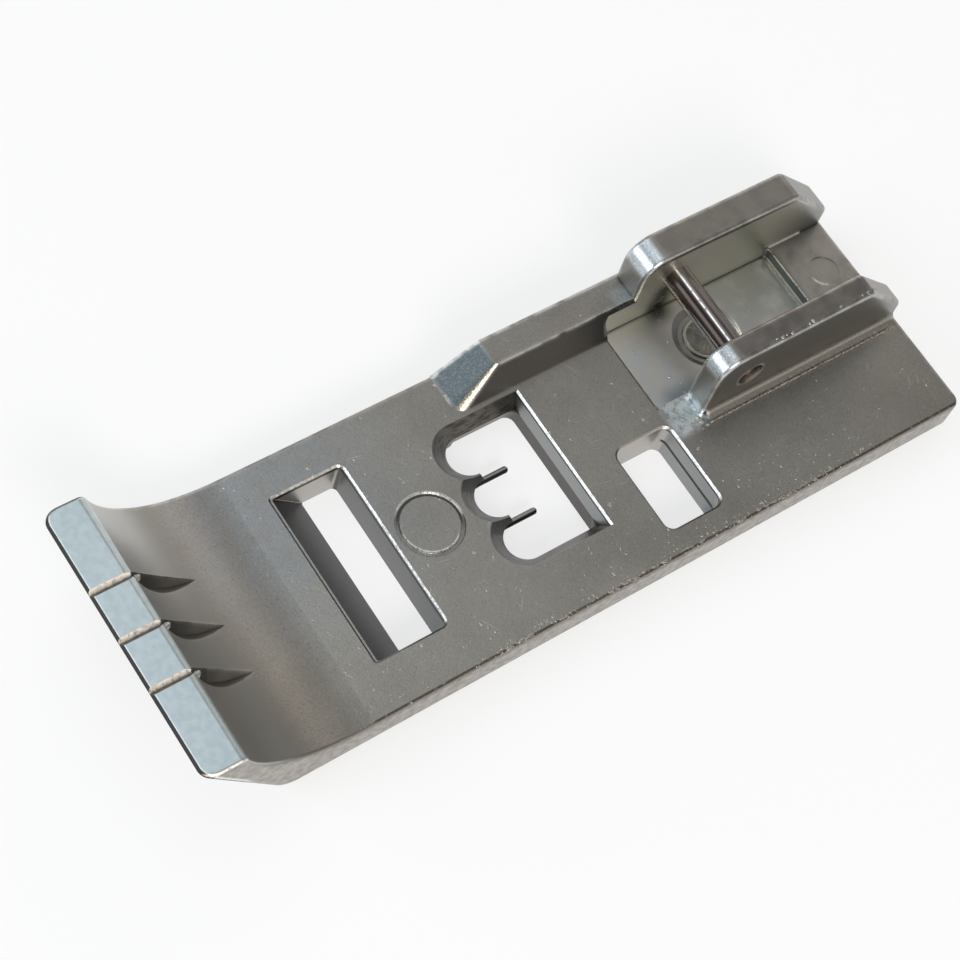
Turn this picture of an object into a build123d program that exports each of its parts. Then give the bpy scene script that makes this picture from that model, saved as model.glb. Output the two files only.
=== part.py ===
from build123d import *
import os
from math import acos, cos, degrees, radians, sin, tan

# A clip-on presser foot for a three-needle cover stitch machine: one plated casting with a pressed-in cross pin.
# Millimetres and degrees. The toe points to -Y, the guide wall and the clevis are on the -X side, the sole is Z = 0.
# Lengths named from_heel run from the heel end towards the toe.

# Plate
plate_width = 16.5
plate_thickness = 2.7
sole_edge_radius = 0.8
top_edge_radius = 0.22
heel_corner_radius = 0.7

# Upswept toe
bend_from_heel = 42.0
toe_curve_radius = 9.0
toe_height = 6.15
toe_face_length = 2.6
toe_edge_radius = 0.5
toe_ramp_angle = 57.5
toe_ramp_radius = 2.0

# Needles and their marks on the toe
needle_count = 3
needle_pitch = 3.0
needle_offset = -0.3
mark_shift = 0.15
mark_width = 0.45
mark_depth = 0.25
mark_wheel_radius = 6.0
mark_groove_angle = 52.0
mark_groove_depth = 0.42
mark_groove_width = 1.2

# Tape slot in front of the needles, its toe wall slanting back towards the sole
tape_slot_width = 11.0
tape_slot_length = 4.6
tape_slot_from_heel = 35.45
tape_slot_slant = 2.4
tape_slot_corner = 0.35
tape_slot_toe_corner = 0.12

# Plain round mark
mark_ring_radius = 1.88
mark_ring_width = 0.3
mark_ring_depth = 0.14
mark_ring_from_heel = 33.0

# Needle opening: a funnel down to the parting height, a flaring exit below it, round fingers between the needles
funnel_from_heel = 23.9
funnel_lobe_from_heel = 28.72
funnel_lobe_radius = 1.9
funnel_shift = 0.06
parting_height = 1.25
hole_lobe_from_heel = 28.1
hole_shift = -0.12
hole_web = 0.45
exit_corner = 0.6
exit_heel_flare = 0.05
exit_side_flare = 0.3
exit_hole_flare = 0.15
finger_diameter = 0.42
finger_height = 0.82
finger_tip_from_heel = 26.3

# Side slot
side_slot_left = 0.9
side_slot_width = 5.7
side_slot_length = 3.9
side_slot_from_heel = 17.2
side_slot_corner = 0.6

# Guide wall on the far edge
guide_base_width = 2.9
guide_top_width = 1.85
guide_height = 1.7
guide_front_from_heel = 27.9
guide_front_slope = 3.05
guide_base_corner = 0.85
guide_top_corner = 0.3

# Clevis
ankle_gap = 5.95
far_ear_thickness = 2.05
near_ear_thickness = 1.6
ear_height = 5.1
ear_front_from_heel = 15.0
ear_front_radius = 1.6
ear_heel_height = 1.4
ear_heel_slope = 45.0
ear_heel_radius = 0.7
ear_edge_radius = 0.28
ear_root_radius = 0.6

# Pocket in the plate between the ears
pocket_front_from_heel = 17.1
pocket_step_from_heel = 4.2
pocket_depth = 0.95
pocket_corner = 0.3

# Casting marks on the pocket floor and the heel floor
gate_from_heel = 10.85
gate_radius = 2.2
gate_stub_radius = 1.45
gate_depth = 0.3
gate_stub_height = 0.12
ejector_from_heel = 2.0
ejector_radius = 1.0
ejector_depth = 0.07

# Broken edges
slot_edge_break = 0.13

# Cross pin
pin_diameter = 1.7
pin_from_heel = 12.2
pin_height = 2.5
pin_end_recess = 0.3
pin_end_chamfer = 0.15

# Places worked out from the sizes above
far_side = -plate_width / 2
near_side = plate_width / 2
far_ear_inner = far_side + far_ear_thickness
near_ear_inner = far_ear_inner + ankle_gap
near_ear_outer = near_ear_inner + near_ear_thickness
ankle_centre = far_ear_inner + ankle_gap / 2
ear_top = plate_thickness + ear_height
pin_axis_height = plate_thickness + pin_height
hole_radius = (needle_pitch - hole_web) / 2
needle_half_span = (needle_count - 1) / 2 * needle_pitch
needle_places = [needle_offset - needle_half_span + k * needle_pitch for k in range(needle_count)]
toe_angle = degrees(acos(1 - toe_height / toe_curve_radius))
toe_top = plate_thickness + toe_height
curve_centre = Vector(0, -bend_from_heel, plate_thickness + toe_curve_radius)
tip_back = Vector(0, -bend_from_heel - toe_curve_radius * sin(radians(toe_angle)), toe_top)
tip_front = tip_back - Vector(0, toe_face_length, 0)
ramp_foot = Vector(0, tip_front.Y + tip_front.Z / tan(radians(toe_ramp_angle)), 0)


def side_point(place):
    """The point of the side view, as Y and Z, at a place in space."""
    return (place.Y, place.Z)


def edge_near(solid, point):
    """The edge of a solid that passes nearest to a point."""
    return solid.edges().sort_by(lambda edge: edge.distance_to(Vector(point)))[0]


def block(x_from, x_to, from_heel, to_heel, z_from, z_to, corner=0.0):
    """An upright block between two distances from the heel, with rounded corners in plan."""
    width = x_to - x_from
    length = from_heel - to_heel
    centre = Pos((x_from + x_to) / 2, -(from_heel + to_heel) / 2, z_from)
    outline = RectangleRounded(width, length, corner) if corner else Rectangle(width, length)
    return extrude(centre * outline, z_to - z_from)


def slot_outline(width, length, heel_corner, toe_corner):
    """A rectangle in plan with its heel corners and toe corners rounded, each pair with a radius of its own."""
    outline = Rectangle(width, length)
    for side, corner in ((1, heel_corner), (-1, toe_corner)):
        ends = [vertex for vertex in outline.vertices() if abs(vertex.Y - side * length / 2) < 1e-6]
        outline = fillet(ends, corner) if corner else outline
    return outline


def plate():
    """The flat plate with its toe swept up, from one side view drawn across the foot."""
    sole_heel = (0, 0)
    top_heel = (0, plate_thickness)
    bend_start = (-bend_from_heel, plate_thickness)
    outline = Line(sole_heel, top_heel)
    outline += Line(top_heel, bend_start)
    outline += JernArc(bend_start, (-1, 0), toe_curve_radius, -toe_angle)
    outline += Line(side_point(tip_back), side_point(tip_front))
    outline += Line(side_point(tip_front), side_point(ramp_foot))
    outline += Line(side_point(ramp_foot), sole_heel)
    side = make_face(outline)
    side = fillet(side.vertices().sort_by_distance((ramp_foot.Y, ramp_foot.Z, 0))[0], toe_ramp_radius)
    solid = extrude(Plane.YZ * side, plate_width / 2, both=True)

    heel_corners = [edge_near(solid, (x, 0, plate_thickness / 2)) for x in (far_side, near_side)]
    solid = fillet(heel_corners, heel_corner_radius)
    solid = fillet(edge_near(solid, tip_back), toe_edge_radius)
    middle = -bend_from_heel / 2
    solid = fillet(edge_near(solid, (near_side, middle, 0)), sole_edge_radius)
    return fillet(edge_near(solid, (near_side, middle, plate_thickness)), top_edge_radius)


def guide_wall():
    """The low wall along the far edge, with a sloping front and a leaning inner face."""
    back = -ear_front_from_heel + far_ear_thickness / 2

    def level(width, front, corner, z):
        inner = far_side + width
        corners = [(far_side, front), (inner, front), (inner, back), (far_side, back)]
        outline = make_face(Polyline(*corners, close=True))
        rounded = fillet(outline.vertices().sort_by_distance((inner, front, 0))[0], corner)
        return Pos(0, 0, z) * rounded

    front = -guide_front_from_heel
    base = level(guide_base_width, front, guide_base_corner, plate_thickness)
    top = level(guide_top_width, front + guide_front_slope, guide_top_corner, plate_thickness + guide_height)
    root = block(far_side, far_side + guide_top_width, guide_front_from_heel - guide_base_corner, -back,
                 plate_thickness - 2 * top_edge_radius, plate_thickness)
    return loft([base, top], ruled=True) + root


def ear(inner_face, outer_face):
    """One ear of the clevis: rounded at the front, flat on top, sloping down to the heel."""
    root = plate_thickness - 2 * top_edge_radius
    heel_shoulder = plate_thickness + ear_heel_height
    slope_run = (ear_top - heel_shoulder) / tan(radians(ear_heel_slope))
    front = -ear_front_from_heel
    corners = [(front, root), (front, ear_top), (-slope_run, ear_top), (0, heel_shoulder), (0, root)]
    side = make_face(Polyline(*corners, close=True))
    side = fillet(side.vertices().sort_by_distance((front, ear_top, 0))[0], ear_front_radius)
    side = fillet(side.vertices().sort_by_distance((-slope_run, ear_top, 0))[0], ear_heel_radius)
    side = fillet(side.vertices().sort_by_distance((0, heel_shoulder, 0))[0], ear_heel_radius)
    left = min(inner_face, outer_face)
    right = max(inner_face, outer_face)
    solid = Pos(left, 0, 0) * extrude(Plane.YZ * side, right - left)
    rims = [edge_near(solid, (x, -ear_front_from_heel / 2, ear_top)) for x in (left, right)]
    return fillet(rims, ear_edge_radius)


def heel_corner_trim():
    """What stands outside the rounded far heel corner of the plate."""
    reach = heel_corner_radius
    root = plate_thickness - 2 * top_edge_radius
    corner = block(far_side, far_side + reach, reach, 0, root, ear_top)
    return corner - Pos(far_side + reach, -reach, root) * extrude(Circle(reach), ear_top - root)


def ear_root_fillet():
    """The hollow fillet that joins the near ear's outer face to the plate."""
    corner = (near_ear_outer, plate_thickness)
    foot = (near_ear_outer + ear_root_radius, plate_thickness)
    shoulder = (near_ear_outer, plate_thickness + ear_root_radius)
    arc = RadiusArc(foot, shoulder, ear_root_radius)
    section = make_face(Line(corner, foot) + arc + Line(shoulder, corner))
    length = ear_front_from_heel - ear_edge_radius - top_edge_radius
    return Pos(0, -top_edge_radius, 0) * extrude(Plane.XZ * section, length)


def needle_funnel():
    """The upper half of the needle opening: one slanting cone for each needle and a tapered well behind."""
    levels = ((plate_thickness, funnel_lobe_radius, funnel_lobe_from_heel, funnel_shift),
              (parting_height, hole_radius, hole_lobe_from_heel, hole_shift))
    cones = []
    for place in needle_places:
        rings = [Pos(place + shift, -from_heel, z) * Circle(radius) for z, radius, from_heel, shift in levels]
        cones.append(loft(rings, ruled=True))
    decks = []
    for z, radius, from_heel, shift in levels:
        length = from_heel - funnel_from_heel
        centre = Pos(needle_offset + shift, -funnel_from_heel - length / 2, z)
        decks.append(centre * Rectangle(2 * (needle_half_span + radius), length))
    return loft(decks, ruled=True) + cones


def needle_exit():
    """The lower half: a flaring hole at each needle, and a well behind them that flares towards the sole."""
    width = 2 * (needle_half_span + hole_radius)
    reach = hole_lobe_from_heel - funnel_from_heel
    sole_outline = slot_outline(width + 2 * exit_side_flare, reach + exit_heel_flare, exit_corner, 0)
    decks = [Pos(0, exit_heel_flare / 2, 0) * sole_outline,
             Pos(0, 0, parting_height) * slot_outline(width, reach, exit_corner, 0)]
    well = Pos(needle_offset + hole_shift, -hole_lobe_from_heel + reach / 2, 0) * loft(decks, ruled=True)
    holes = []
    for place in needle_places:
        rings = [Circle(hole_radius + exit_hole_flare), Pos(0, 0, parting_height) * Circle(hole_radius)]
        holes.append(Pos(place + hole_shift, -hole_lobe_from_heel, 0) * loft(rings, ruled=True))
    return well + holes


def fingers():
    """The thin round fingers that part the threads, one in each gap between the needles."""
    radius = finger_diameter / 2
    root = -hole_lobe_from_heel - hole_radius / 2
    tip = -finger_tip_from_heel - radius
    bars = []
    for left, right in zip(needle_places, needle_places[1:]):
        place = (left + right) / 2
        start = Plane(origin=(place, root, finger_height), z_dir=(0, 1, 0))
        bars.append(extrude(start * Circle(radius), tip - root))
        bars.append(Pos(place, tip, finger_height) * Sphere(radius))
    return bars


def slot_break(x_centre, from_heel, width, length, corner, toe_corner):
    """The broken edge around the mouth of a slot."""
    place = Pos(x_centre, -from_heel - length / 2, plate_thickness)
    lower = Pos(0, 0, -slot_edge_break) * slot_outline(width, length, corner, toe_corner)
    grown = 2 * slot_edge_break
    upper = slot_outline(width + grown, length + grown, corner + slot_edge_break, toe_corner + slot_edge_break)
    return place * loft([lower, upper], ruled=True)


def needle_break():
    """The broken edge behind the needles."""
    edge = -funnel_from_heel
    corners = [(edge, plate_thickness - slot_edge_break), (edge, plate_thickness),
               (edge + slot_edge_break, plate_thickness)]
    section = Plane.YZ * make_face(Polyline(*corners, close=True))
    middle = Pos(needle_offset + funnel_shift, 0, 0)
    return middle * extrude(section, needle_half_span + funnel_lobe_radius, both=True)


def tape_slot():
    """The slot for tape, narrower at the sole because its toe wall slants back."""
    levels = ((plate_thickness, tape_slot_length), (0, tape_slot_length - tape_slot_slant))
    decks = []
    for z, length in levels:
        centre = Pos(needle_offset, -tape_slot_from_heel - length / 2, z)
        decks.append(centre * slot_outline(tape_slot_width, length, tape_slot_corner, tape_slot_toe_corner))
    mouth = slot_break(needle_offset, tape_slot_from_heel, tape_slot_width, tape_slot_length,
                       tape_slot_corner, tape_slot_toe_corner)
    return [loft(decks, ruled=True), mouth]


def side_slot():
    """The small slot to the right of the needles."""
    hole = block(side_slot_left, side_slot_left + side_slot_width, side_slot_from_heel + side_slot_length,
                 side_slot_from_heel, 0, plate_thickness, side_slot_corner)
    middle = side_slot_left + side_slot_width / 2
    mouth = slot_break(middle, side_slot_from_heel, side_slot_width, side_slot_length,
                       side_slot_corner, side_slot_corner)
    return [hole, mouth]


def pocket():
    """The recess between the ears, open upwards, which also trims the foot of the guide wall."""
    return block(far_ear_inner, near_ear_inner, pocket_front_from_heel, pocket_step_from_heel,
                 plate_thickness - pocket_depth, ear_top, pocket_corner)


def gate_mark():
    """The shallow dish where the casting was fed, with the low stub that is left in its middle."""
    floor = plate_thickness - pocket_depth
    bottom = Pos(0, 0, floor - gate_depth) * Circle(gate_stub_radius + gate_depth)
    dish = loft([bottom, Pos(0, 0, floor) * Circle(gate_radius)], ruled=True)
    stub = Pos(0, 0, floor - gate_depth) * extrude(Circle(gate_stub_radius), gate_stub_height)
    return Pos(ankle_centre, -gate_from_heel, 0) * (dish - stub)


def ejector_mark():
    """The faint round print of the ejector pin on the heel floor."""
    disc = extrude(Circle(ejector_radius), ejector_depth)
    return Pos(ankle_centre, -ejector_from_heel, plate_thickness - ejector_depth) * disc


def round_mark():
    """A plain ring let into the plate."""
    outer = Circle(mark_ring_radius + mark_ring_width / 2)
    inner = Circle(mark_ring_radius - mark_ring_width / 2)
    ring = extrude(outer - inner, mark_ring_depth)
    return Pos(needle_offset, -mark_ring_from_heel, plate_thickness - mark_ring_depth) * ring


def toe_marks():
    """For each needle, a V line along the toe's end face and a V groove ground into its hollow side."""
    across = Vector(1, 0, 0)
    section = make_face(Polyline((-mark_width, mark_depth), (mark_width, mark_depth), (0, -mark_depth), close=True))
    rim_flank = mark_wheel_radius * mark_groove_width / (2 * mark_groove_depth)
    groove_way = Vector(0, -sin(radians(mark_groove_angle)), -cos(radians(mark_groove_angle)))
    wheel_centre = curve_centre + groove_way * (toe_curve_radius - mark_wheel_radius + mark_groove_depth)
    cuts = []
    for needle in needle_places:
        place = needle + mark_shift
        line_start = Plane(origin=(place, tip_front.Y - toe_face_length, toe_top), x_dir=across, z_dir=(0, -1, 0))
        cuts.append(extrude(line_start * section, -3 * toe_face_length))
        for side in (1, -1):
            flank = Plane(origin=wheel_centre + across * place, x_dir=groove_way, z_dir=across * side)
            cuts.append(flank * Cone(mark_wheel_radius, 0, rim_flank, align=(Align.CENTER, Align.CENTER, Align.MIN)))
    return cuts


def pin_solid(length_from, length_to, diameter):
    """A round bar on the pin's axis between two places across the foot."""
    start = Plane(origin=(length_from, -pin_from_heel, pin_axis_height), z_dir=(1, 0, 0))
    return extrude(start * Circle(diameter / 2), length_to - length_from)


def foot_body():
    """The casting."""
    far_ear = ear(far_ear_inner, far_side) - heel_corner_trim()
    solid = plate() + guide_wall() + far_ear + ear(near_ear_inner, near_ear_outer)
    solid += ear_root_fillet()
    solid -= pocket()
    solid -= tape_slot() + side_slot() + [needle_funnel(), needle_exit(), needle_break()]
    solid += fingers()
    solid -= [gate_mark(), ejector_mark(), round_mark()]
    solid -= toe_marks()
    return solid - pin_solid(far_side, near_ear_outer, pin_diameter)


def cross_pin():
    """The pin that the ankle clips on to, pressed through both ears."""
    solid = pin_solid(far_side + pin_end_recess, near_ear_outer - pin_end_recess, pin_diameter)
    return chamfer(solid.edges().filter_by(GeomType.CIRCLE), pin_end_chamfer)


body = foot_body()
length_centre = Pos(0, -body.bounding_box().center().Y, 0)
os.makedirs("parts", exist_ok=True)
export_step(length_centre * body, "parts/foot_body.step")
export_step(length_centre * cross_pin(), "parts/cross_pin.step")
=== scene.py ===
# %% [markdown]
# # A presser foot for a cover stitch machine
# They could be modelled again by hand, but the solids already have the true sizes and edges, so
# they stay as they are. What is left to do here is the finish, the small lumps and marks of
# casting and wear, the light and the camera.

# %% Load the frame
import math
import random

import bpy
from mathutils import Matrix, Vector


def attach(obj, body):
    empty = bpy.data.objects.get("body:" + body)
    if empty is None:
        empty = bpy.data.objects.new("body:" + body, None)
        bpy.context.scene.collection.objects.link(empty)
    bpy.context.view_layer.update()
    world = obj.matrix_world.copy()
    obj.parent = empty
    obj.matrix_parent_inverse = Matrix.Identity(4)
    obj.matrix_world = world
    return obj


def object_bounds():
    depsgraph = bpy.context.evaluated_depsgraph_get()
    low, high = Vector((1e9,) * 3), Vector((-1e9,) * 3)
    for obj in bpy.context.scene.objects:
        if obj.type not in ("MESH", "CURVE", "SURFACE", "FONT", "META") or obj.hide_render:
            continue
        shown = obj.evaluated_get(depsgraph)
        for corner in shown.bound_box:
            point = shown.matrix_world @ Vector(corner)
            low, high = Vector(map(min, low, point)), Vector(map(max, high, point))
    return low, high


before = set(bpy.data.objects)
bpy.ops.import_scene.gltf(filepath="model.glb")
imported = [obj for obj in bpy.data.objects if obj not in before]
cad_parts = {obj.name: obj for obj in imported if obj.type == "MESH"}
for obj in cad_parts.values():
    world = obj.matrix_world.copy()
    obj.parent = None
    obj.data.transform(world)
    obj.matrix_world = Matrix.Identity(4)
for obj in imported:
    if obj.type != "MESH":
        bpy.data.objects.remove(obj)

cad_low, cad_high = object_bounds()
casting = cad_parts["foot_body"]
cross_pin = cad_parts["cross_pin"]
MM = 0.001
print("CAD box in mm:", [round(v / MM, 2) for v in (*cad_low, *cad_high)])

# %% [markdown]
# ## Camera
# The photograph was taken close up and from above, with the camera leaning over to one side.
# A tracking constraint could aim the camera, but it can't lean, so the three axes are worked out
# from the azimuth, the elevation and the lean, and written straight into the camera's matrix.

# %% Place the camera
CAMERA_AZIMUTH = 36.87
CAMERA_ELEVATION = 60.28
CAMERA_LEAN = 22.14
CAMERA_PLACE = Vector((36.71, -53.16, 113.6)) * MM
CAMERA_LENS = 85.35
CLIP_START = 1 * MM
CLIP_END = 10


def camera_axes(azimuth, elevation, lean):
    """Right, up and back of a camera at these angles, in degrees."""
    a, e, roll = (math.radians(v) for v in (azimuth, elevation, lean))
    level = Vector((math.cos(a), math.sin(a), 0))
    rise = Vector((-math.sin(a) * math.sin(e), math.cos(a) * math.sin(e), math.cos(e)))
    back = Vector((math.sin(a) * math.cos(e), -math.cos(a) * math.cos(e), math.sin(e)))
    right = level * math.cos(roll) + rise * math.sin(roll)
    up = rise * math.cos(roll) - level * math.sin(roll)
    return right, up, back


camera_data = bpy.data.cameras.new("photo_camera")
camera_data.lens = CAMERA_LENS
camera_data.clip_start = CLIP_START
camera_data.clip_end = CLIP_END
camera = bpy.data.objects.new("photo_camera", camera_data)
bpy.context.collection.objects.link(camera)
turn = Matrix(camera_axes(CAMERA_AZIMUTH, CAMERA_ELEVATION, CAMERA_LEAN)).transposed()
camera.matrix_world = Matrix.Translation(CAMERA_PLACE) @ turn.to_4x4()
bpy.context.scene.camera = camera
middle = (cad_low + cad_high) / 2
print("camera distance in mm:", round((CAMERA_PLACE - middle).length / MM, 1))

# %% [markdown]
# ## Floor and node helpers
# The foot lies on white paper: a wide disc, so that its edge never shows in the metal. Stronger
# lamps could make paper white, but would burn out the metal too. So part of the white is a glow
# that only the camera and the reflections see, and the rest is ordinary paper, which keeps the
# shadow. Most of this lesson is about materials, and a node tree is easier to read when each node
# is one line. The second helper below makes a node, sets its options and fills or links its inputs.

# %% Lay the floor
FLOOR_RADIUS = 3.0
FLOOR_SIDES = 96
PAPER = (0.92, 0.92, 0.92, 1)
GLOW = (1, 1, 1, 1)
GLOW_SHARE = 0.7


def new_material(name):
    """A material with an empty node tree, and its output node."""
    material = bpy.data.materials.new(name)
    material.use_nodes = True
    tree = material.node_tree
    tree.nodes.clear()
    return material, tree, tree.nodes.new("ShaderNodeOutputMaterial")


def node(tree, kind, inputs, **options):
    """A new node with its inputs filled by values or linked to other nodes' sockets."""
    made = tree.nodes.new("ShaderNode" + kind)
    for name, value in options.items():
        setattr(made, name, value)
    for name, value in inputs.items():
        if isinstance(value, bpy.types.NodeSocket):
            tree.links.new(value, made.inputs[name])
        else:
            made.inputs[name].default_value = value
    return made


bpy.ops.object.select_all(action="DESELECT")
bpy.ops.mesh.primitive_circle_add(
    vertices=FLOOR_SIDES, radius=FLOOR_RADIUS, fill_type="NGON", location=(0, 0, 0))
floor = bpy.context.object
floor.name = "floor"
floor_paper, tree, output = new_material("floor_paper")
ray = node(tree, "LightPath", {}).outputs
rays = {0: ray["Is Camera Ray"], 1: ray["Is Glossy Ray"]}
seen = node(tree, "Math", rays, operation="MAXIMUM").outputs[0]
share = node(tree, "Math", {0: seen, 1: GLOW_SHARE}, operation="MULTIPLY").outputs[0]
paper = node(tree, "BsdfDiffuse", {"Color": PAPER}).outputs[0]
glow = node(tree, "Emission", {"Color": GLOW, "Strength": 1.0}).outputs[0]
mixed = node(tree, "MixShader", {0: share, 1: paper, 2: glow}).outputs[0]
tree.links.new(mixed, output.inputs["Surface"])
floor.data.materials.append(floor_paper)
print("floor across in m:", round(floor.dimensions.x, 2))

# %% [markdown]
# ## Lamps and world
# A small metal part shows whatever stands round it, so the light decides most of its look.
# Lamp power says little about a reflection, so each panel is given the brightness that the metal
# will see in it, and the power follows from its area. A cool window stands low beyond the toe, a
# dim cool panel hangs over the toe, a warm one stands behind the far heel corner and a low one on
# the near side, and a small warm lamp lights the floor.

# %% Hang the lamps
WORLD_LIGHT = (0.3, 0.3, 0.3, 1)


def panel(name, direction, distance, width, height, brightness, colour):
    """A square-on area lamp in a direction from the part, in millimetres."""
    lamp = bpy.data.lights.new(name, "AREA")
    lamp.shape = "RECTANGLE"
    lamp.size = width * MM
    lamp.size_y = height * MM
    lamp.energy = brightness * math.pi * lamp.size * lamp.size_y
    lamp.color = colour
    hung = bpy.data.objects.new(name, lamp)
    bpy.context.collection.objects.link(hung)
    away = Vector(direction).normalized()
    hung.location = away * distance * MM
    hung.rotation_euler = (-away).to_track_quat("-Z", "Y").to_euler()
    print(name, "power in watts:", round(lamp.energy, 2))


panel("toe_window", direction=(-0.33, -0.86, 0.42), distance=500, width=460, height=220,
      brightness=4.0, colour=(0.86, 0.94, 1.0))
panel("toe_panel", direction=(-0.36, -0.12, 0.93), distance=500, width=380, height=420,
      brightness=1.0, colour=(0.88, 0.95, 1.0))
panel("heel_panel", direction=(-0.62, 0.7, 0.36), distance=520, width=400, height=380,
      brightness=0.85, colour=(1.0, 0.88, 0.79))
panel("right_panel", direction=(0.88, 0.4, 0.24), distance=500, width=360, height=130,
      brightness=1.6, colour=(1.0, 0.93, 0.84))
panel("side_lamp", direction=(0.72, -0.3, 0.66), distance=500, width=200, height=200,
      brightness=10.0, colour=(1.0, 0.97, 0.93))

world = bpy.data.worlds.new("studio")
bpy.context.scene.world = world
world.use_nodes = True
world.node_tree.nodes["Background"].inputs["Color"].default_value = WORLD_LIGHT
bpy.context.scene.view_settings.view_transform = "Standard"

# %% [markdown]
# ## Finish of the casting: masks
# The foot is a zinc casting that was tumbled and then plated with nickel. Flat faces came out
# satin, walls kept more of the dull casting skin, the end of the toe was ground bright, and edges
# are rubbed. These areas could be painted by hand, but masks worked out from place, direction and
# nearness to an edge follow the solid by themselves. Object coordinates are in metres, so they are
# first made millimetres. A smooth step never leaves the range from 0 to 1, so the Clamp option
# of the Map Range nodes stays off: it would add a node to each of the many masks.

# %% Mask helpers
plated, tree, output = new_material("plated_casting")


def in_millimetres():
    """Object coordinates in the material in hand, in millimetres."""
    metres = node(tree, "TexCoord", {}).outputs["Object"]
    return node(tree, "Mapping", {"Vector": metres, "Scale": (1 / MM, 1 / MM, 1 / MM)}).outputs[0]


def axes_of(vector):
    """The X, Y and Z sockets of a vector."""
    return node(tree, "SeparateXYZ", {0: vector}).outputs


def math_node(operation, first, second=0.0):
    """The result of one step of arithmetic."""
    return node(tree, "Math", {0: first, 1: second}, operation=operation).outputs[0]


def fade(value, low, high):
    """0 at low, 1 at high and a smooth step between; low may be the larger one."""
    ends = {"Value": value, "From Min": low, "From Max": high}
    step = node(tree, "MapRange", ends, interpolation_type="SMOOTHSTEP", clamp=False)
    return step.outputs["Result"]


def both(*masks):
    """The product of masks."""
    product = masks[0]
    for mask in masks[1:]:
        product = math_node("MULTIPLY", product, mask)
    return product


def most(*masks):
    """The largest of masks."""
    largest = masks[0]
    for mask in masks[1:]:
        largest = math_node("MAXIMUM", largest, mask)
    return largest


place = in_millimetres()
where = axes_of(place)
facing = axes_of(node(tree, "TexCoord", {}).outputs["Normal"])
sideways = math_node("ABSOLUTE", facing["X"])
print("nodes for place and direction:", len(tree.nodes))

# %% [markdown]
# ## Finish of the casting: areas, layers and noise
# Most finishes sit in a box or a ring on the foot, so these two shapes of mask get a helper each.
# The colours are mixed in layers, each laid over the last by a mask. All of them are plain metal
# colours. A photograph of plating could give the grain, but noise of several sizes, from clouds
# to dust, gives it without an image and from any distance.

# %% Areas, layers and noise
def area(soft, **ranges):
    """A box with soft sides, from ranges along X, Y and Z in millimetres."""
    sides = []
    for axis, (low, high) in ranges.items():
        sides.append(fade(where[axis], low - soft, low + soft))
        sides.append(fade(where[axis], high + soft, high - soft))
    return both(*sides)


def ring_area(x, y, inner, outer, soft=0.02):
    """An upright round sleeve about a place in plan, between two radii in millimetres."""
    squares = []
    for axis, centre in (("X", x), ("Y", y)):
        offset = math_node("SUBTRACT", where[axis], centre)
        squares.append(math_node("MULTIPLY", offset, offset))
    away = math_node("SQRT", math_node("ADD", *squares))
    return both(fade(away, inner - soft, inner + soft), fade(away, outer + soft, outer - soft))


def over(mask, lower, upper):
    """One colour over another, by a mask."""
    return node(tree, "Mix", {0: mask, 6: lower, 7: upper}, data_type="RGBA").outputs[2]


def value_over(mask, lower, upper):
    """One number over another, by a mask."""
    ends = {"Value": mask, "To Min": lower, "To Max": upper}
    return node(tree, "MapRange", ends, clamp=False).outputs["Result"]


def noise(vector, scale, detail):
    """Cloudy noise, with the scale as clouds per unit of the vector."""
    cloudy = {"Vector": vector, "Scale": scale, "Detail": detail}
    return node(tree, "TexNoise", cloudy).outputs["Fac"]


def stretched(x, y, z):
    """Noise that is drawn out along the axes with small numbers."""
    drawn_out = node(tree, "Mapping", {"Vector": place, "Scale": (x, y, z)}).outputs[0]
    return noise(drawn_out, 1.0, 3.0)


clouds = noise(place, 0.22, 3.0)
patches = noise(place, 0.9, 4.0)
blotches = noise(place, 2.4, 3.0)
flecks = noise(place, 5.0, 3.0)
grain = noise(place, 9.0, 3.0)
dust = noise(place, 13.0, 2.0)
print("nodes with the noise:", len(tree.nodes))

# %% [markdown]
# ## Finish of the casting: plating
# Flat faces are satin, cooler and bluer towards the far side of the toe. Walls keep the casting's
# skin. The sole has been polished by cloth, in lines along its length, and is the smoothest face
# of all. Each could be a material of its own, but faces that run into each other with a fillet
# would then change colour at a hard line, so one material holds them all.

# %% Plating
SKIN = (0.27, 0.262, 0.245, 1)
SIDE_DARK = (0.26, 0.24, 0.21, 1)
SIDE_LIGHT = (0.42, 0.39, 0.35, 1)
SATIN_DARK = (0.33, 0.315, 0.284, 1)
SATIN_LIGHT = (0.4, 0.384, 0.35, 1)
SATIN_GRAIN_AND_SHEEN = (0.5, 0.485, 0.45, 1)
SATIN_PIT = (0.24, 0.225, 0.2, 1)
COOL_SATIN = (0.365, 0.38, 0.388, 1)
SOLE_SATIN = (0.56, 0.55, 0.52, 1)
SATIN_ROUGHNESS = (0.31, 0.43)
SOLE_ROUGHNESS = 0.22

level_face = fade(facing["Z"], 0.75, 0.97)
far_toe = both(fade(where["Y"], -3.0, -12.0), fade(where["X"], 5.0, -4.0))
satin = over(fade(clouds, 0.25, 0.75), SATIN_DARK, SATIN_LIGHT)
satin = over(both(far_toe, fade(patches, 0.1, 0.6)), satin, COOL_SATIN)
satin = over(both(fade(dust, 0.5, 0.8), fade(flecks, 0.3, 0.6)), satin, SATIN_GRAIN_AND_SHEEN)
satin = over(both(fade(dust, 0.5, 0.25), fade(flecks, 0.65, 0.35)), satin, SATIN_PIT)
near_side = both(fade(where["X"], 8.1, 8.2), fade(facing["X"], 0.8, 0.9))
side_skin = over(fade(blotches, 0.3, 0.7), SIDE_DARK, SIDE_LIGHT)
colour = over(level_face, over(near_side, SKIN, side_skin), satin)

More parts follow.
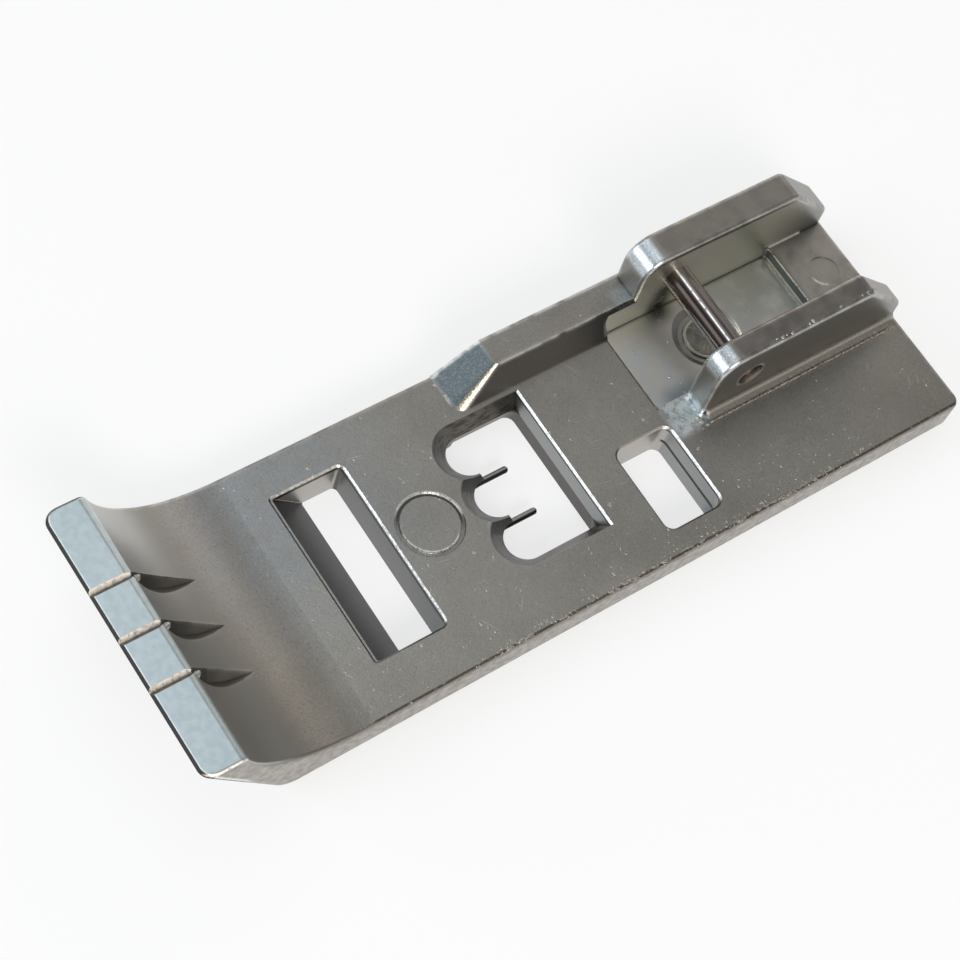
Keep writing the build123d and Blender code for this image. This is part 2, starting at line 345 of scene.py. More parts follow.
sole_face = fade(facing["Z"], -0.8, -0.95)
cloth_lines = fade(stretched(9, 0.25, 1), 0.4, 0.65)
colour = over(sole_face, colour, over(cloth_lines, SATIN_LIGHT, SOLE_SATIN))
roughness = value_over(sole_face, value_over(grain, *SATIN_ROUGHNESS), SOLE_ROUGHNESS)
print("nodes with the plating:", len(tree.nodes))

# %% [markdown]
# ## Finish of the casting: toe
# The end of the toe is ground bright and blue, with a painted highlight on its rim and a front that
# is painted dark as shade. The V-shaped needle marks have one flank painted light and one painted
# dark as shade, and the leaf-shaped hollows behind them are painted dark as shade. The steep wall
# of the hollow behind the lip is painted lighter. Faces could be selected for each of these. The
# flanks face to the left and to the right, so a mask on the direction finds them in all three marks
# at once.

# %% Toe
LIP_SHEEN = (0.48, 0.475, 0.45, 1)
LEAF_SHADE = (0.15, 0.14, 0.125, 1)
GROUND_DARK = (0.52, 0.605, 0.63, 1)
GROUND_LIGHT = (0.6, 0.68, 0.7, 1)
RIM_HIGHLIGHT = (0.85, 0.84, 0.81, 1)
FRONT_SHADE = (0.05, 0.05, 0.05, 1)
FLANK_DARK = (0.55, 0.51, 0.47, 1)
FLANK_LIGHT = (0.95, 0.89, 0.82, 1)
CUT_ROUGHNESS = 0.55

# The steep wall of the hollow behind the lip is painted lighter: painted light.
lip_wall = both(fade(facing["Y"], 0.45, 0.75), fade(where["Y"], -18.0, -19.5))
colour = over(lip_wall, colour, LIP_SHEEN)
# The walls of the leaf-shaped hollows are painted dark as shade.
leaf = both(fade(sideways, 0.08, 0.25), area(0.1, X=(-5, 5), Y=(-24.6, -16.5), Z=(2.9, 8.3)))
colour = over(leaf, colour, LEAF_SHADE)

toe_end = fade(where["Z"], 8.25, 8.5)
end_faces = both(toe_end, fade(facing["Z"], 0.3, 0.5))
ground = over(fade(blotches, 0.3, 0.7), GROUND_DARK, GROUND_LIGHT)
colour = over(end_faces, colour, ground)
at_tip = fade(where["Y"], -23.0, -24.0)
# The rim at the tip carries a painted highlight, broken up by flecks.
toe_rim = both(at_tip, fade(facing["Y"], -0.08, -0.2), fade(flecks, 0.25, 0.5))
colour = over(toe_rim, colour, RIM_HIGHLIGHT)
# The front of the toe is painted dark as shade.
toe_front = both(at_tip, fade(facing["Y"], -0.28, -0.4))
colour = over(toe_front, colour, FRONT_SHADE)
# The far flank of each needle mark is painted light, as a flecked painted highlight.
far_flank = both(end_faces, fade(facing["X"], 0.3, 0.5), fade(sideways, 0.9, 0.8))
colour = over(far_flank, colour, over(fade(flecks, 0.3, 0.55), FLANK_DARK, FLANK_LIGHT))
# The near flank of each needle mark is painted dark as shade.
colour = over(both(end_faces, fade(facing["X"], -0.3, -0.5)), colour, LEAF_SHADE)
roughness = value_over(most(far_flank, toe_front), roughness, CUT_ROUGHNESS)
print("nodes with the toe:", len(tree.nodes))

# %% [markdown]
# ## Finish of the casting: guide wall
# The front slope of the guide wall is blue and speckled, its inner side is painted dark as shade,
# and the corner between them is worn rough, with a straw-coloured painted highlight. The corner
# could be bevelled and given a slot, but the solid already has the bevel, and its direction between
# the two faces picks it out.

# %% Guide wall
SHADED_SKIN = (0.1, 0.095, 0.088, 1)
BLUE_SATIN = (0.14, 0.178, 0.2, 1)
STRAW_DARK = (0.3, 0.26, 0.18, 1)
STRAW_SHEEN = (0.85, 0.8, 0.62, 1)

guide = area(0.1, X=(-8.4, -5.2), Y=(-2, 11.6), Z=(2.75, 5))
# The inner side of the guide wall is painted dark as shade.
colour = over(both(guide, fade(facing["X"], 0.65, 0.8)), colour, SHADED_SKIN)
guide_slope = both(guide, fade(facing["Y"], -0.3, -0.45), fade(facing["Z"], 0.7, 0.8))
colour = over(guide_slope, colour, over(fade(grain, 0.45, 0.7), BLUE_SATIN, SKIN))
# The worn corner is rough, and its straw colour is a painted highlight.
guide_corner = both(guide, fade(facing["X"], 0.2, 0.4), fade(facing["Y"], -0.15, -0.35))
colour = over(guide_corner, colour, over(fade(grain, 0.4, 0.6), STRAW_DARK, STRAW_SHEEN))
print("nodes with the guide wall:", len(tree.nodes))

# %% [markdown]
# ## Finish of the casting: slots
# Walls inside the two slots face different parts of the room, so their tones are painted light and
# shade: walls that face the near side and the heel are painted dark, walls that face the toe are
# painted with shade in the tape slot and lighter in the other openings, the far walls of the tape
# slot and the side slot are painted light, and the low near ends get a cool painted shade. The side
# slot also shows the line where the two halves of the mould met, and a painted shadow lies under
# the lips. Thin strips of mesh could be cut along these lines, but a narrow mask by height needs no
# cut in the solid.

# %% Slots
SLOT_SHADE = (0.1, 0.097, 0.09, 1)
LIT_WALL = (0.31, 0.318, 0.318, 1)
TAPE_SHADE = (0.168, 0.17, 0.168, 1)
TAPE_DARK = (0.072, 0.073, 0.071, 1)
TAPE_LIGHT = (0.46, 0.44, 0.41, 1)
COOL_SHADE = (0.12, 0.152, 0.16, 1)
DEEP_LINE = (0.035, 0.034, 0.032, 1)

openings = area(0.05, X=(-6.6, 6.9), Y=(-14.4, 9.9), Z=(-0.1, 2.62))
opening = both(openings, fade(facing["Z"], 0.85, 0.7))
to_near = both(opening, fade(facing["X"], 0.15, 0.5))
to_heel = both(opening, fade(facing["Y"], 0.1, 0.4))
to_toe = both(opening, fade(facing["Y"], -0.6, -0.85))
# Walls that face the toe are painted with shade in the tape slot and painted lighter in the other
# openings.
colour = over(to_toe, colour, over(fade(where["Y"], -1.0, 1.0), TAPE_SHADE, LIT_WALL))
# Walls that face the near side and the heel are painted dark as shade.
colour = over(most(to_near, to_heel), colour, SLOT_SHADE)
# In the tape slot the walls that face the heel are painted darker still, as shade.
colour = over(both(to_heel, fade(where["Y"], -8.0, -8.5)), colour, TAPE_DARK)

tape_far_end = area(0.2, X=(-6.4, -4.8), Y=(-14, -8.4))
tape_far_wall = both(to_near, fade(facing["X"], 0.75, 0.92), tape_far_end)
side_far_wall = both(to_near, area(0.2, X=(0.5, 1.7), Y=(5, 9.6)))
# The far walls of the tape slot and the side slot are painted light.
colour = over(most(tape_far_wall, side_far_wall), colour, TAPE_LIGHT)
# The low parts of the slots' near ends are painted with a cool shade.
near_ends = most(area(0.5, X=(4.4, 6), Y=(-10, -8)), area(0.5, X=(5.9, 7), Y=(8, 10)))
colour = over(both(to_toe, near_ends, fade(where["Z"], 2.2, 0.6)), colour, COOL_SHADE)

mould_line = both(to_toe, area(0.06, Y=(4.5, 10), Z=(1.1, 1.35)))
# Under the lips of the slots a thin painted shadow line runs along the walls.
under_lip = both(to_toe, area(0.03, Z=(2.43, 2.58)))
tape_walls = most(both(to_toe, fade(where["Y"], -7.0, -8.0)), tape_far_wall)
under_tape_lip = both(tape_walls, area(0.03, Z=(2.28, 2.58)))
colour = over(most(mould_line, under_lip, under_tape_lip), colour, DEEP_LINE)
print("nodes with the slots:", len(tree.nodes))

# %% [markdown]
# ## Finish of the casting: needle opening
# The mould's core was dragged out of this opening, and left streaks round its walls; their dark
# tone is painted shade. The low part of the walls and the slanted walls at the roots of the fingers
# are painted dark as shade too, and the fingers are painted light on top and dark as shade on the
# side that faces the near side. Streaks could be drawn with a wave texture, but that is too even,
# so noise is squeezed in height instead.

# %% Needle opening
STREAKED_SHADE = (0.135, 0.123, 0.106, 1)
STREAKED_SHADE_DARK = (0.055, 0.05, 0.044, 1)
FINGER_TOP = (0.42, 0.41, 0.39, 1)

# The low part of the walls in the needle opening is painted dark as shade.
exit_wall = both(opening, area(0.05, Y=(-6, 4), Z=(-0.1, 1.25)), fade(facing["Z"], 0.5, 0.3))
colour = over(exit_wall, colour, SHADED_SKIN)
# The walls of the needle opening are streaked, and their dark tone is painted shade.
streaks = fade(stretched(1.5, 1.5, 5), 0.32, 0.62)
needle_wall = both(opening, area(0.05, X=(-6, 5.4), Y=(-6, 2.1), Z=(1.2, 2.66)))
colour = over(needle_wall, colour, over(streaks, STREAKED_SHADE_DARK, STREAKED_SHADE))
finger_gaps = most(area(0.1, X=(-2.4, -1.2)), area(0.1, X=(0.6, 1.8)))
# The slanted walls at the roots of the fingers are painted dark as shade.
root_walls = both(area(0.05, Y=(-4.2, -1.4), Z=(1.1, 2.66)), fade(facing["Z"], 0.05, 0.25))
colour = over(both(finger_gaps, root_walls), colour, DEEP_LINE)
# The fingers are painted light on top and dark as shade on the side that faces the near side.
fingers = both(finger_gaps, area(0.05, Y=(-4, 0.5), Z=(0.5, 1.15)))
colour = over(fingers, colour, over(fade(facing["X"], 0.1, 0.5), FINGER_TOP, DEEP_LINE))
print("nodes with the needle opening:", len(tree.nodes))

# %% [markdown]
# ## Finish of the casting: pocket and ears
# The floor of the pocket is painted pale and clouded, as painted light where the ears keep the
# light off it, and darker in the dish where the metal was poured in. A dark patch under the far end
# of the pin is the pin's painted shadow, the corner by the near ear is painted with cool shade, the
# far ear's inner side is painted light and the step behind the pocket gets a cool painted shade.
# The tops of the ears are plain and dull. Marks like these could be painted as an image, but soft
# boxes and rings that are broken up by noise need no unwrapping.

# %% Pocket and ears
POCKET_LIT = (0.7, 0.69, 0.63, 1)
POCKET_BLUE = (0.67, 0.69, 0.69, 1)
POCKET_BACK = (0.5, 0.505, 0.475, 1)
POCKET_SHADE = (0.33, 0.38, 0.41, 1)
DISH_SATIN = (0.42, 0.42, 0.39, 1)
HEEL_SATIN = (0.46, 0.44, 0.4, 1)
EAR_SIDE_LIGHT = (0.98, 0.95, 0.82, 1)
TOP_SATIN = (0.28, 0.268, 0.248, 1)
TOP_DARK = (0.19, 0.18, 0.168, 1)
SHADE_DARK = (0.1, 0.093, 0.08, 1)
GATE = (-3.225, 15.63)

# The floor of the pocket is painted lighter than the plate: painted light, clouded at random.
pocket_box = area(0.1, X=(-6.3, -0.1), Y=(9.2, 22.4), Z=(1.0, 2.4))
pocket = both(pocket_box, fade(facing["Z"], 0.3, 0.7))
pocket_back = both(fade(where["Y"], 13.0, 20.0), fade(patches, 0.15, 0.6))
pocket_lit = over(fade(patches, 0.4, 0.6), POCKET_LIT, POCKET_BLUE)
colour = over(pocket, colour, over(pocket_back, pocket_lit, POCKET_BACK))
colour = over(both(pocket, ring_area(*GATE, 1.35, 2.2)), colour, DISH_SATIN)
shaded_corner = area(0.6, X=(-1.2, 0.2), Y=(10.7, 13.2), Z=(1, 3))
colour = over(both(pocket, shaded_corner), colour, POCKET_SHADE)
heel_floor = both(level_face, area(0.2, X=(-5.8, -0.4), Y=(22.5, 27), Z=(2.5, 2.9)))
colour = over(both(heel_floor, fade(patches, 0.2, 0.6)), colour, HEEL_SATIN)

# The far ear's inner side is painted light.
ear_side = both(area(0.1, X=(-6.5, -5.9), Z=(1.7, 7.4)), fade(facing["X"], 0.95, 0.99))
colour = over(both(ear_side, fade(where["Y"], 26.0, 20.0)), colour, EAR_SIDE_LIGHT)
# A dark patch under the far end of the pin is the pin's painted shadow.
pin_shadow = area(0.7, X=(-6.8, -5.4), Y=(13.2, 14.6), Z=(1, 4.6))
colour = over(both(pin_shadow, fade(blotches, 0.1, 0.5)), colour, SHADE_DARK)
ear_top = both(area(0.1, Y=(11, 27), Z=(7.5, 8)), fade(facing["Z"], 0.6, 0.9))
colour = over(ear_top, colour, over(fade(patches, 0.3, 0.7), TOP_SATIN, SATIN_DARK))
near_top = both(ear_top, fade(where["X"], -2.0, -0.5))
colour = over(near_top, colour, over(fade(patches, 0.3, 0.8), TOP_DARK, TOP_SATIN))
step_box = area(0.05, X=(-6.4, 0), Y=(21.8, 22.7), Z=(1.7, 2.75))
step_wall = both(step_box, fade(facing["Y"], -0.5, -0.8))
# The step wall behind the pocket is painted with a cool shade.
colour = over(step_wall, colour, COOL_SHADE)
print("nodes with the pocket and ears:", len(tree.nodes))

# %% [markdown]
# ## Finish of the casting: painted shade and dirt
# Where the casting closes in on itself, it is darkened as painted shade. It could be painted into
# each corner, but the ambient occlusion node finds the corners by itself. The near top edge is
# lined with rusty dirt, the front edge of the pocket with a painted shadow line, and a beige crust
# runs along the root of the near ear.

# %% Painted shade and dirt
RUST_AND_SHADOW = (0.16, 0.135, 0.112, 1)
BEIGE = (0.52, 0.46, 0.38, 1)
EJECTOR = (-3.225, 24.48)


def hollow_or_edge(distance, inside):
    """How open the casting is close by: outside it, to find hollows, or inside it, for edges."""
    close = node(tree, "AmbientOcclusion", {"Distance": distance * MM}, samples=8,
                 inside=inside, only_local=True)
    return close.outputs["AO"]


# Hollows found by ambient occlusion are darkened as painted shade.
hollow = both(fade(hollow_or_edge(0.4, False), 0.85, 0.35), fade(where["Z"], 8.4, 8.2))
off_ejector = fade(ring_area(*EJECTOR, 0.6, 1.4), 0.8, 0.2)
colour = over(both(hollow, off_ejector), colour, SHADE_DARK)
# Rusty dirt lines the near top edge, and a painted shadow line runs along the front edge of the
# pocket.
near_edge = area(0.03, X=(7.99, 8.13), Y=(-15.5, 26.3), Z=(2.42, 2.9))
pocket_edge_shadow = area(0.03, X=(-6.3, -0.1), Y=(9.28, 9.44), Z=(2.55, 2.8))
colour = over(both(most(near_edge, pocket_edge_shadow), fade(flecks, 0.3, 0.46)), colour, RUST_AND_SHADOW)
ear_root = area(0.15, X=(1.7, 2.25), Y=(11.3, 26), Z=(2.6, 2.95))
colour = over(both(ear_root, fade(grain, 0.42, 0.55)), colour, BEIGE)
print("nodes with the dirt:", len(tree.nodes))

# %% [markdown]
# ## Finish of the casting: nicks and scratches
# Plating over a casting is dotted with tiny nicks and handling scratches. Thousands of them could
# be modelled, but a pattern is lighter. Nicks are small discs round the points of a Voronoi
# pattern, kept only where the cell's own random colour is high, and gathered in clusters and
# along the near edge. Scratches are noise that is stretched out along one direction, so that only
# its ridges are left.

# %% Nicks and scratches
NICKED = (0.58, 0.56, 0.52, 1)


def nicks(cells, share, radius):
    """Spots: cells per millimetre, the share of them with a spot, and its radius in cells."""
    cell = node(tree, "TexVoronoi", {"Vector": place, "Scale": cells}).outputs
    uneven = value_over(fade(grain, 0.35, 0.65), 0.6, 1.7)
    ragged = math_node("MULTIPLY", cell["Distance"], uneven)
    chosen = node(tree, "SeparateColor", {0: cell["Color"]}).outputs["Red"]
    return both(fade(ragged, radius, 0.4 * radius), fade(chosen, 1 - share, 1 - 0.8 * share))


def scratches(turn, share):
    """Fine straight lines across the plate, turned by an angle in degrees."""
    along = {"Vector": place, "Rotation": (0, 0, math.radians(turn)), "Scale": (2.2, 0.1, 1)}
    turned = node(tree, "Mapping", along, vector_type="TEXTURE").outputs[0]
    return fade(noise(turned, 1.0, 2.0), 1 - share, 1.04 - share)


plate_top = both(level_face, fade(where["Z"], 7.4, 7.2), fade(where["Y"], -17.0, -15.0))
near_half = both(fade(where["X"], 2.5, 7.0), fade(where["Y"], 22.0, 15.0))
clusters = most(fade(patches, 0.53, 0.64), both(near_half, fade(patches, 0.45, 0.6)))
near_strip = both(area(0.12, X=(7.66, 8.4), Y=(-9, 20)), fade(patches, 0.3, 0.5))
edge_nicks = both(nicks(cells=4.5, share=0.7, radius=0.34), near_strip)
lone_nicks = nicks(cells=0.8, share=0.3, radius=0.1)
nick_clusters = both(nicks(cells=3.2, share=0.42, radius=0.26), clusters)
spots = both(most(lone_nicks, nick_clusters, edge_nicks), plate_top)

lines = most(scratches(28, 0.29), scratches(-35, 0.28), scratches(80, 0.28))
lines = both(lines, fade(clouds, 0.5, 0.6))
heel_rub = area(0.7, X=(5.4, 9), Y=(22.6, 27))
heel_lines = both(most(scratches(-20, 0.32), scratches(12, 0.3)), heel_rub)
colour = over(most(spots, both(most(lines, heel_lines), plate_top)), colour, NICKED)
print("nodes with the nicks and scratches:", len(tree.nodes))

# %% [markdown]
# ## Finish of the casting: ring
# A shallow ring is let into the plate. Its groove is painted with shade towards the far heel
# corner, and parts of both of its rims carry painted highlights. Its walls could be given colours
# of their own, but the colours change on the way round. So bands by distance from the centre shade
# it, and how far a point lies towards the far heel corner says which part is painted dark and which
# bright.

# %% Ring
MARK_RING = (-0.3, -6.52)
FAR_HEEL = (-0.784, 0.417)

far_share = math_node("MULTIPLY", where["X"], FAR_HEEL[0])
heel_share = math_node("MULTIPLY", where["Y"], FAR_HEEL[1])
upward = math_node("ADD", far_share, heel_share)
# The ring's groove is painted with shade towards the far heel corner.
ring_shade = both(ring_area(*MARK_RING, 1.76, 1.93), fade(upward, -2.9, -2.0))
colour = over(ring_shade, colour, SHADE_DARK)
# Parts of the ring's rims carry painted highlights.
outer_glint = both(ring_area(*MARK_RING, 1.96, 2.06), fade(upward, -2.2, -1.5))
inner_glint = both(ring_area(*MARK_RING, 1.64, 1.74), fade(upward, -2.8, -3.3))
ring_glint = both(most(outer_glint, inner_glint), fade(flecks, 0.25, 0.5))
colour = over(ring_glint, colour, RIM_HIGHLIGHT)
print("nodes with the ring:", len(tree.nodes))

# %% [markdown]
# ## Finish of the casting: rubbed places
# Edges are rubbed bright by handling. They could be picked out one by one, but an ambient
# occlusion node that looks into the metal finds them all. Some edges of the photographed foot
# stayed plain, so these are taken out again. The fronts of the ears, the end of the guide wall
# and the foot of the near ear are rubbed smoother, and their bluish white is a painted highlight.

# %% Rubbed places and painted highlights
WEAR_AND_GLINT = (0.85, 0.84, 0.81, 1)
SCUFF_HIGHLIGHT = (0.6, 0.66, 0.7, 1)
FOOT_HIGHLIGHT = (0.9, 0.97, 1.0, 1)
SCUFF_ROUGHNESS = 0.26

front_slopes = both(fade(facing["Y"], -0.15, -0.35), fade(facing["Z"], 0.1, 0.35))
ear_fronts = both(area(0.3, Y=(11.2, 13.2), Z=(6.3, 8.2)), front_slopes)
guide_box = area(0.3, X=(-7.4, -5.9), Y=(10.3, 11.8), Z=(3.0, 5))
guide_end = both(guide_box, fade(facing["Z"], 0.4, 0.7))
ear_foot = area(0.35, X=(-0.5, 2.0), Y=(9.5, 11.6), Z=(2.3, 3.2))
# These places are rubbed smoother, and their bluish white colour is a painted highlight.
scuffs_and_highlights = both(most(ear_fronts, guide_end, ear_foot), fade(grain, 0.1, 0.75))
colour = over(scuffs_and_highlights, colour, SCUFF_HIGHLIGHT)
colour = over(both(ear_foot, fade(blotches, 0.35, 0.6)), colour, FOOT_HIGHLIGHT)
roughness = value_over(scuffs_and_highlights, roughness, SCUFF_ROUGHNESS)

plain = most(
    area(0.05, X=(-6.8, 7), Y=(-14.6, 10), Z=(-0.2, 2.75)),
    ring_area(*MARK_RING, 0.5, 2.5),
    area(0.2, X=(7.4, 9)),
    area(0.2, Y=(8.9, 9.7), Z=(1.5, 3)),
    ring_area(*EJECTOR, 0.4, 1.4),
    area(0.1, X=(-6.5, 0), Y=(21.8, 22.8), Z=(1.6, 3)))
sharp = fade(hollow_or_edge(0.28, True), 0.97, 0.7)
edge = both(sharp, fade(plain, 0.6, 0.4), fade(where["Z"], 8.4, 8.2))
colour = over(both(edge, fade(patches, 0.3, 0.6)), colour, WEAR_AND_GLINT)
print("nodes with the rubbed places:", len(tree.nodes))

# %% [markdown]
# ## Finish of the casting: lips and rims
# The mouths of the slots have a narrow bevel, with a painted highlight on the heel side and painted
# shade on the toe side. The rims of the step behind the pocket and of the ejector's mark, and a
# line by the far ear at the heel, carry painted highlights too, and the ejector's wall is painted
# lighter.
# A bevel this narrow is hard to select by hand, but its height and its slant set it apart.

# %% Lips and rims
LIP_DARK = (0.3, 0.293, 0.285, 1)
LIP_LIGHT = (0.72, 0.7, 0.67, 1)
MOUTHS = {"X": (-6.8, 7), "Y": (-14.6, 10)}

slanted = fade(facing["Z"], 0.4, 0.6)
# The heel-side bevels of the slots' mouths carry a painted highlight.
slot_lip = both(area(0.02, **MOUTHS, Z=(2.6, 2.8)), fade(facing["Y"], -0.4, -0.6))
tape_mouth = area(0.02, X=(-6.6, -5.4), Y=(-14.6, -8.4), Z=(2.58, 2.8))
tape_lip = both(tape_mouth, fade(facing["X"], 0.4, 0.6))
lip_highlight = over(fade(flecks, 0.25, 0.75), LIP_DARK, LIP_LIGHT)
colour = over(both(most(slot_lip, tape_lip), slanted), colour, lip_highlight)
# The toe-side bevels are painted with shade.
toe_lip = both(area(0.02, **MOUTHS, Z=(2.58, 2.8)), fade(facing["Y"], 0.4, 0.6))
colour = over(both(toe_lip, slanted), colour, TAPE_SHADE)

step_rims = both(step_wall, most(fade(where["Z"], 2.04, 1.9), fade(where["Z"], 2.52, 2.62)))
heel_line = area(0.02, X=(-6.22, -6.1), Y=(22.3, 24.8), Z=(2.6, 2.85))
# The wall of the ejector's mark is painted lighter: painted light.
ejector_wall = both(ring_area(*EJECTOR, 0.8, 1.2), fade(facing["Z"], 0.95, 0.75))
colour = over(ejector_wall, colour, SATIN_GRAIN_AND_SHEEN)
ejector_front = area(0.2, X=(-3.1, -2.0), Y=(23.2, 24.1), Z=(2, 2.8))
crescent = both(ring_area(*EJECTOR, 0.86, 1.08), ejector_front)
# The rims of the step and the ejector's mark, and a line by the heel, carry painted highlights.
rims = both(most(step_rims, heel_line, crescent), fade(flecks, 0.2, 0.5))
colour = over(rims, colour, WEAR_AND_GLINT)
print("nodes with the lips and rims:", len(tree.nodes))

# %% [markdown]
# ## Finish of the casting: relief
# The grain of the casting can be felt, and each nick is raised as well as bright. Displacement
# would need millions of faces for marks that are finer than a hair, so both are bumps. On the
# ground end of the toe there is hardly any grain.

# %% Relief
GRAIN_HEIGHT = 0.015
GRAIN_STRENGTH = 0.5
GROUND_STRENGTH = 0.06
NICK_HEIGHT = 0.05
NICK_STRENGTH = 0.6


def metal(colour, roughness, **more):
    """A metal shader with this colour and roughness, as the surface of the material in hand."""
    surface = {"Base Color": colour, "Metallic": 1.0, "Roughness": roughness, **more}
    shader = node(tree, "BsdfPrincipled", surface)
    tree.links.new(shader.outputs["BSDF"], output.inputs["Surface"])


fine = {"Strength": value_over(toe_end, GRAIN_STRENGTH, GROUND_STRENGTH),
        "Distance": GRAIN_HEIGHT * MM, "Height": grain}
fine_normal = node(tree, "Bump", fine).outputs["Normal"]
raised = {"Strength": NICK_STRENGTH, "Distance": NICK_HEIGHT * MM, "Height": spots,
          "Normal": fine_normal}
metal(colour, roughness, Normal=node(tree, "Bump", raised).outputs["Normal"])
casting.data.materials.clear()
casting.data.materials.append(plated)
print("nodes in the casting's finish:", len(tree.nodes))

# %% [markdown]
# ## Finish of the pin
# The pin is a length of drawn steel wire, darker and smoother than the plating. One line along it
# is painted as a bright highlight, with a band of painted shade beside it. An anisotropic shader
# could give the drawn lines, but noise that is stretched along the pin also shows from close by.
# The direction of the surface places the painted highlight and the painted shade.

# %% Drawn steel
PIN_DARK = (0.16, 0.138, 0.13, 1)
PIN_LIGHT = (0.34, 0.31, 0.295, 1)
PIN_SHADE = (0.05, 0.038, 0.035, 1)
PIN_HIGHLIGHT = (0.9, 0.88, 0.85, 1)
PIN_RUST = (0.2, 0.125, 0.09, 1)
PIN_ROUGHNESS = (0.14, 0.3)

drawn, tree, output = new_material("drawn_steel")
place = in_millimetres()
facing = axes_of(node(tree, "TexCoord", {}).outputs["Normal"])
draw_lines = stretched(0.15, 9, 9)
upper = fade(facing["Z"], 0, 0.1)
colour = over(fade(draw_lines, 0.35, 0.7), PIN_DARK, PIN_LIGHT)
# A band of painted shade and a painted highlight line run along the pin.
shaded_band = both(upper, fade(facing["Y"], -0.4, -0.46), fade(facing["Y"], -0.97, -0.93))
colour = over(shaded_band, colour, PIN_SHADE)
highlight_line = both(upper, fade(facing["Y"], -0.4, -0.34), fade(facing["Y"], -0.24, -0.3))
beads = fade(noise(place, 3.0, 2.0), 0.3, 0.5)
colour = over(both(highlight_line, beads), colour, PIN_HIGHLIGHT)
pin_ends = fade(math_node("ABSOLUTE", facing["X"]), 0.5, 0.7)
colour = over(pin_ends, colour, PIN_RUST)
metal(colour, value_over(draw_lines, *PIN_ROUGHNESS))
cross_pin.data.materials.clear()
cross_pin.data.materials.append(drawn)
print("nodes in the pin's finish:", len(tree.nodes))

# %% [markdown]
# ## Plating nodules
# Nickel grows into tiny hard lumps wherever a speck sat on the casting, and each lump catches the
# light. A bump map can't stand proud of an edge, so these are real lumps. One is modelled here,
# from a ball that is flattened and dented.

# %% Model one nodule
NODULE_RADIUS = 0.1
NODULE_SHAPE = (1, 0.75, 0.55)
NODULE_DENT = 0.025
LUMP_DARK = (0.34, 0.325, 0.295, 1)
LUMP_LIGHT = (0.58, 0.565, 0.53, 1)
LUMP_ROUGHNESS = (0.28, 0.45)

lump_metal, tree, output = new_material("lump_metal")
speckle = noise(in_millimetres(), 9.0, 2.0)
speckled = over(fade(speckle, 0.35, 0.65), LUMP_DARK, LUMP_LIGHT)
metal(speckled, value_over(speckle, *LUMP_ROUGHNESS))


def dented_ball(subdivisions, radius, shape, dent, seed):
    """A ball at the origin, squeezed to a shape and dented at random, in millimetres."""
    bpy.ops.object.select_all(action="DESELECT")
    bpy.ops.mesh.primitive_ico_sphere_add(subdivisions=subdivisions, radius=radius * MM)
    ball = bpy.context.object
    bpy.ops.object.mode_set(mode="EDIT")
    bpy.ops.mesh.select_all(action="SELECT")
    bpy.ops.transform.resize(value=shape)
    bpy.ops.transform.vertex_random(offset=dent * MM, seed=seed)
    bpy.ops.object.mode_set(mode="OBJECT")
    bpy.ops.object.shade_smooth()
    ball.data.materials.append(lump_metal)
    print("dented ball, in mm:", [round(v / MM, 3) for v in ball.dimensions])
    return ball


nodule = dented_ball(2, NODULE_RADIUS, NODULE_SHAPE, NODULE_DENT, seed=3)

# %% [markdown]
# On the foot the nodules lie in rows where the edges were rough, and singly all over the plate.
# A particle system could spread them, but it can't be told to stay clear of the openings. Here
# each row is listed, and the rest take random places from a fixed seed, so that every run
# gives the same foot. Each copy is turned and scaled, and all of them are joined into one piece.

# %% Spread the nodules
PLATE_TOP = 2.7
PLATE_X = (-7.8, 7.8)
PLATE_Y = (-15.0, 26.0)
NODULE_COUNT = 86
SMALLEST = 0.35
SIZE_RANGE = 0.75
FULL_TURN = 6.28
TURN_ALONG = 0.7
# Left, right, front and back of what the nodules keep clear of.
CLEAR_OF = ((-6.2, 5.6, -14.0, -8.6), (-5.8, 5.0, -4.6, 3.2), (0.5, 7.0, 5.0, 9.7),
            (-8.3, -5.0, -2.0, 27.0), (-6.4, 2.4, 9.0, 27.0))
# Place in millimetres, and size.
EDGE_LUMPS = ((8.08, -6.9, 2.64, 1.5), (8.08, -5.7, 2.64, 1.2))
EAR_FOOT_LUMPS = ((1.75, 11.25, 2.72, 2.0), (1.4, 11.2, 2.72, 1.4), (2.05, 11.5, 2.72, 1.2))
EAR_TOP_LUMPS = ((1.05, 15.5, 7.77, 1.1), (1.1, 15.9, 7.76, 1.5), (1.08, 16.2, 7.77, 1.0),
                 (1.12, 16.6, 7.75, 1.4), (1.1, 17.9, 7.76, 1.2), (1.08, 18.2, 7.77, 1.6),
                 (1.06, 20.3, 7.77, 1.2), (1.05, 22.0, 7.77, 1.0), (1.06, 22.4, 7.77, 1.4),
                 (1.02, 22.9, 7.77, 1.1))
chance = random.Random(11)


def is_clear(x, y):
    """True where the plate has a flat top that nothing stands on."""
    return not any(left < x < right and front < y < back for left, right, front, back in CLEAR_OF)


def copy_piece(piece, x, y, z, size, angle):
    """A copy with a mesh of its own, moved to a place in millimetres, scaled and turned."""
    bpy.ops.object.select_all(action="DESELECT")
    piece.select_set(True)
    bpy.context.view_layer.objects.active = piece
    bpy.ops.object.duplicate()
    copy = bpy.context.object
    copy.location = Vector((x, y, z)) * MM
    copy.scale = (size, size, size)
    copy.rotation_euler.z = angle
    bpy.ops.object.transform_apply(location=True, rotation=True, scale=True)
    return copy


